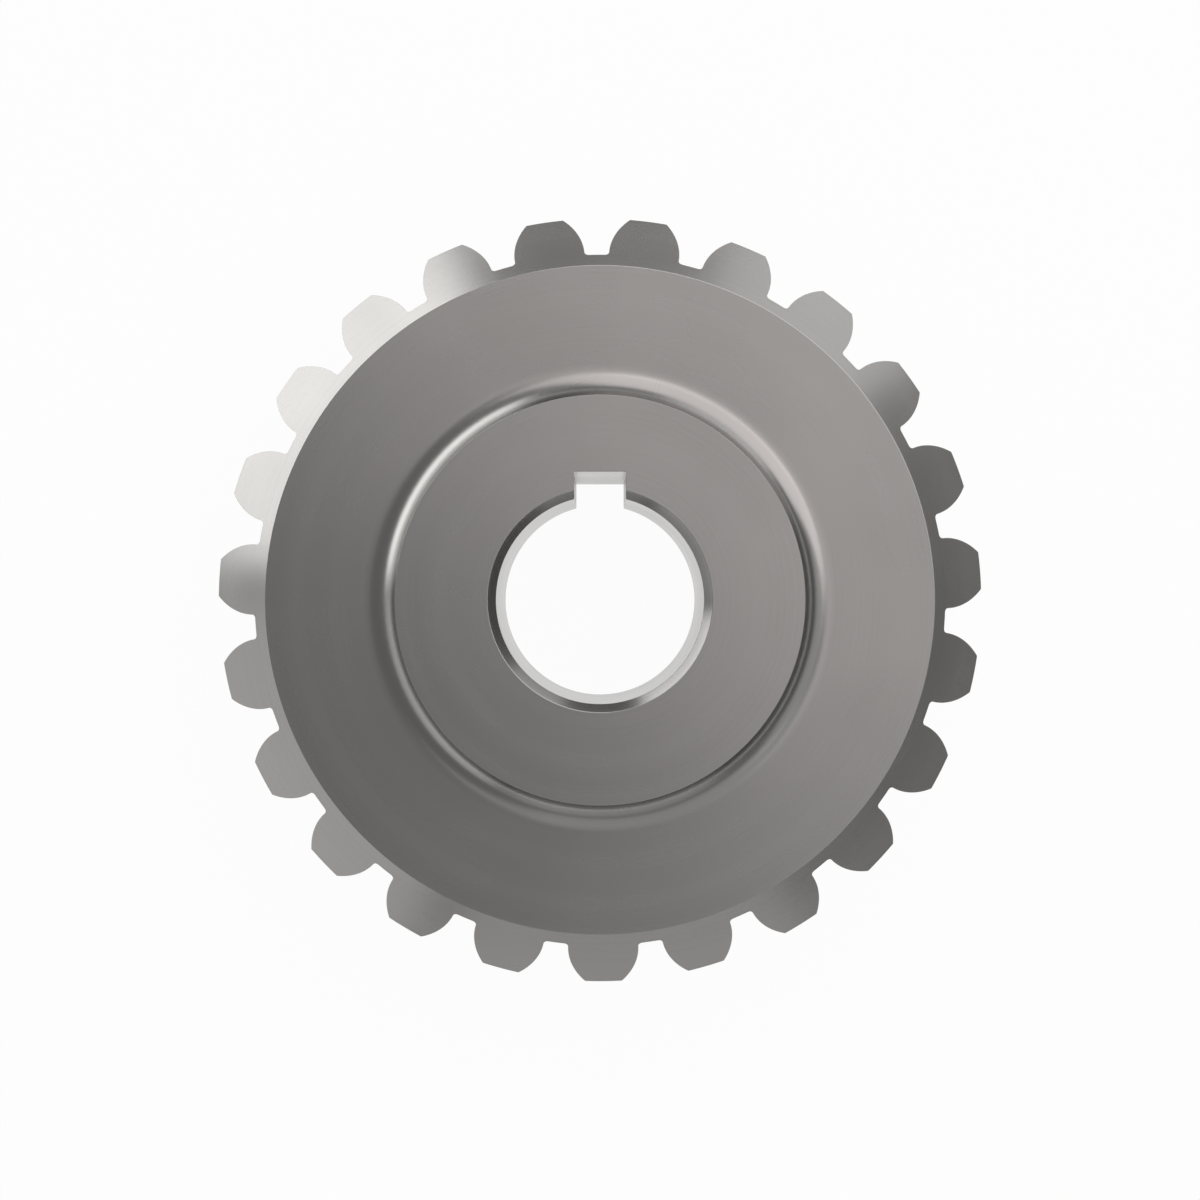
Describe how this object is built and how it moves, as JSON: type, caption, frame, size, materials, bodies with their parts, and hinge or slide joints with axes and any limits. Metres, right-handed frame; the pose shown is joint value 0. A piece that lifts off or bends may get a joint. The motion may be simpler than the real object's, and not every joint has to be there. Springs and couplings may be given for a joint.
{
  "type": "bevel gear",
  "caption": "One-piece straight bevel gear with stub teeth tapering to the pitch apex, a filleted hub on the back, a flat front boss and a chamfered bore with a through keyway.",
  "frame": {"origin": "on the bore axis, in the plane of the front boss's face that the gear lies on", "axes": "+Z along the bore axis from the front boss to the hub, +Y from the axis to the middle of the keyway, +X completes a right-handed frame"},
  "size_m": [0.097, 0.0969, 0.031],
  "materials": {
    "machined_steel": "satin, fine turned"
  },
  "bodies": {
    "root": {"bevel_gear": "machined_steel"}
  },
  "joints": []
}
